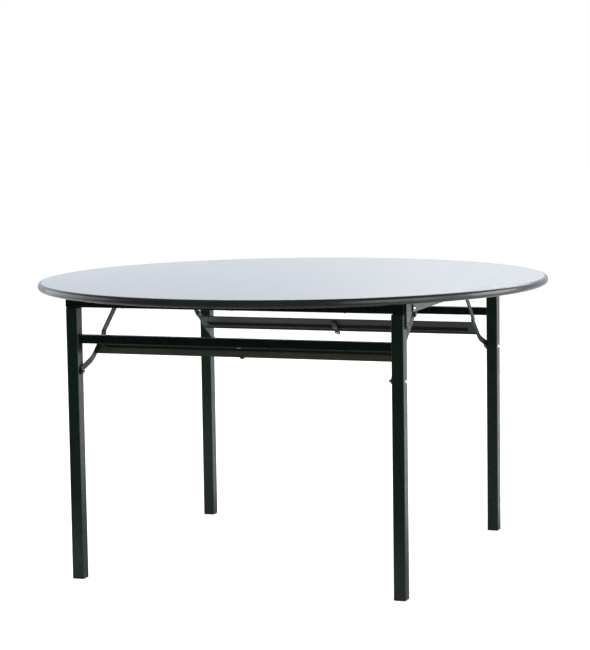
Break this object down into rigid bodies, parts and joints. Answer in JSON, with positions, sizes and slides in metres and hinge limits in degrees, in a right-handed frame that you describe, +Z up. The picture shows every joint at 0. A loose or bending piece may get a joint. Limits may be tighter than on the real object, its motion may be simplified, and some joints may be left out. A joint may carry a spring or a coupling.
{
  "type": "round folding table",
  "caption": "Round table with a laminate top, rounded edge band and folding square-tube leg frames held by jointed stays.",
  "frame": {"origin": "on the floor, under the centre of the round top", "axes": "+Z up through the top; +X to the right along the leg crossbars; -Y to the front, where one leg frame stands"},
  "size_m": [1.372, 1.372, 0.76],
  "materials": {
    "laminate": "smooth pale grey laminate, satin",
    "core_board": "pressed particle board",
    "backing": "dark brown paper laminate, matte",
    "edge": "extruded black vinyl, satin",
    "tube_paint": "black powder coat on steel tube, semi-gloss",
    "frame_paint": "black powder coat on angle and plate, satin",
    "stay_paint": "black-brown coat on pressed steel, satin",
    "dark_pins": "painted steel rivet heads, semi-gloss",
    "zinc": "bright zinc plate",
    "dull_zinc": "dulled zinc plate on rivets",
    "rubber": "moulded rubber plug, matte",
    "black_plastic": "moulded plastic, matte"
  },
  "bodies": {
    "tabletop": {"tabletop_core": "core_board", "top_laminate": "laminate", "backing_sheet": "backing", "edge_band": "edge", "front_rail": "tube_paint", "rear_rail": "tube_paint", "left_side_rail": "frame_paint", "right_side_rail": "frame_paint", "hinge_pins": "dark_pins", "bracket_rivets": "zinc", "ear_rivets": "dark_pins", "wood_screws": "zinc", "front_left_hinge_bracket": "frame_paint", "front_right_hinge_bracket": "frame_paint", "rear_left_hinge_bracket": "frame_paint", "rear_right_hinge_bracket": "frame_paint", "front_left_brace_ear": "stay_paint", "front_right_brace_ear": "stay_paint", "rear_left_brace_ear": "stay_paint", "rear_right_brace_ear": "stay_paint"},
    "front_leg_frame": {"front_left_leg": "tube_paint", "front_right_leg": "tube_paint", "front_left_foot": "rubber", "front_right_foot": "rubber", "front_leg_caps": "black_plastic", "front_crossbar": "tube_paint", "front_stay_bolts": "zinc", "front_stay_nuts": "zinc", "front_stay_spacers": "zinc"},
    "front_stay": {"front_left_lower_link": "stay_paint", "front_right_lower_link": "stay_paint", "front_knee_rivets": "dark_pins", "front_connecting_strip": "stay_paint", "front_catch_rivet": "dull_zinc"},
    "front_left_upper_brace": {"front_left_upper_link": "stay_paint", "front_left_link_pin": "dark_pins"},
    "front_right_upper_brace": {"front_right_upper_link": "stay_paint", "front_right_link_pin": "dark_pins"},
    "front_catch": {"front_catch_lever": "stay_paint", "front_catch_stud": "zinc"},
    "rear_leg_frame": {"rear_left_leg": "tube_paint", "rear_right_leg": "tube_paint", "rear_left_foot": "rubber", "rear_right_foot": "rubber", "rear_leg_caps": "black_plastic", "rear_crossbar": "tube_paint", "rear_stay_bolts": "zinc", "rear_stay_nuts": "zinc", "rear_stay_spacers": "zinc"},
    "rear_stay": {"rear_left_lower_link": "stay_paint", "rear_right_lower_link": "stay_paint", "rear_knee_rivets": "dark_pins", "rear_connecting_strip": "stay_paint", "rear_catch_rivet": "dull_zinc"},
    "rear_left_upper_brace": {"rear_left_upper_link": "stay_paint", "rear_left_link_pin": "dark_pins"},
    "rear_right_upper_brace": {"rear_right_upper_link": "stay_paint", "rear_right_link_pin": "dark_pins"},
    "rear_catch": {"rear_catch_lever": "stay_paint", "rear_catch_stud": "zinc"}
  },
  "joints": [
    {"name": "front_leg_fold", "type": "hinge", "parent": "tabletop", "child": "front_leg_frame", "pos_m": [0, -0.44125, 0.682], "axis": [1, 0, 0], "range_deg": [0, 92]},
    {"name": "front_stay_fold", "type": "hinge", "parent": "front_leg_frame", "child": "front_stay", "pos_m": [0, -0.44725, 0.545], "axis": [1, 0, 0], "range_deg": [-126.8, 0]},
    {"name": "front_left_knee", "type": "hinge", "parent": "front_stay", "child": "front_left_upper_brace", "pos_m": [-0.416, -0.32325, 0.6335], "axis": [1, 0, 0], "range_deg": [0, 171.7]},
    {"name": "front_right_knee", "type": "hinge", "parent": "front_stay", "child": "front_right_upper_brace", "pos_m": [0.416, -0.32325, 0.6335], "axis": [1, 0, 0], "range_deg": [0, 171.7]},
    {"name": "front_catch_swing", "type": "hinge", "parent": "front_stay", "child": "front_catch", "pos_m": [-0.0195, -0.3438, 0.59926], "axis": [0, -0.6247, 0.7809], "range_deg": [-30, 30]},
    {"name": "rear_leg_fold", "type": "hinge", "parent": "tabletop", "child": "rear_leg_frame", "pos_m": [0, 0.44125, 0.682], "axis": [-1, 0, 0], "range_deg": [0, 87.5]},
    {"name": "rear_stay_fold", "type": "hinge", "parent": "rear_leg_frame", "child": "rear_stay", "pos_m": [0, 0.44725, 0.53], "axis": [-1, 0, 0], "range_deg": [-116.8, 0]},
    {"name": "rear_left_knee", "type": "hinge", "parent": "rear_stay", "child": "rear_left_upper_brace", "pos_m": [-0.416, 0.32325, 0.6185], "axis": [-1, 0, 0], "range_deg": [0, 162.8]},
    {"name": "rear_right_knee", "type": "hinge", "parent": "rear_stay", "child": "rear_right_upper_brace", "pos_m": [0.416, 0.32325, 0.6185], "axis": [-1, 0, 0], "range_deg": [0, 162.8]},
    {"name": "rear_catch_swing", "type": "hinge", "parent": "rear_stay", "child": "rear_catch", "pos_m": [0.001, 0.3438, 0.58426], "axis": [0, 0.6247, 0.7809], "range_deg": [-30, 30]}
  ],
  "couplings": [
    {"joint": "front_stay_fold", "follows": "front_leg_fold", "ratio": -1.3782},
    {"joint": "front_left_knee", "follows": "front_leg_fold", "ratio": 1.8657},
    {"joint": "front_right_knee", "follows": "front_leg_fold", "ratio": 1.8657},
    {"joint": "rear_stay_fold", "follows": "rear_leg_fold", "ratio": -1.3338},
    {"joint": "rear_left_knee", "follows": "rear_leg_fold", "ratio": 1.8601},
    {"joint": "rear_right_knee", "follows": "rear_leg_fold", "ratio": 1.8601}
  ]
}
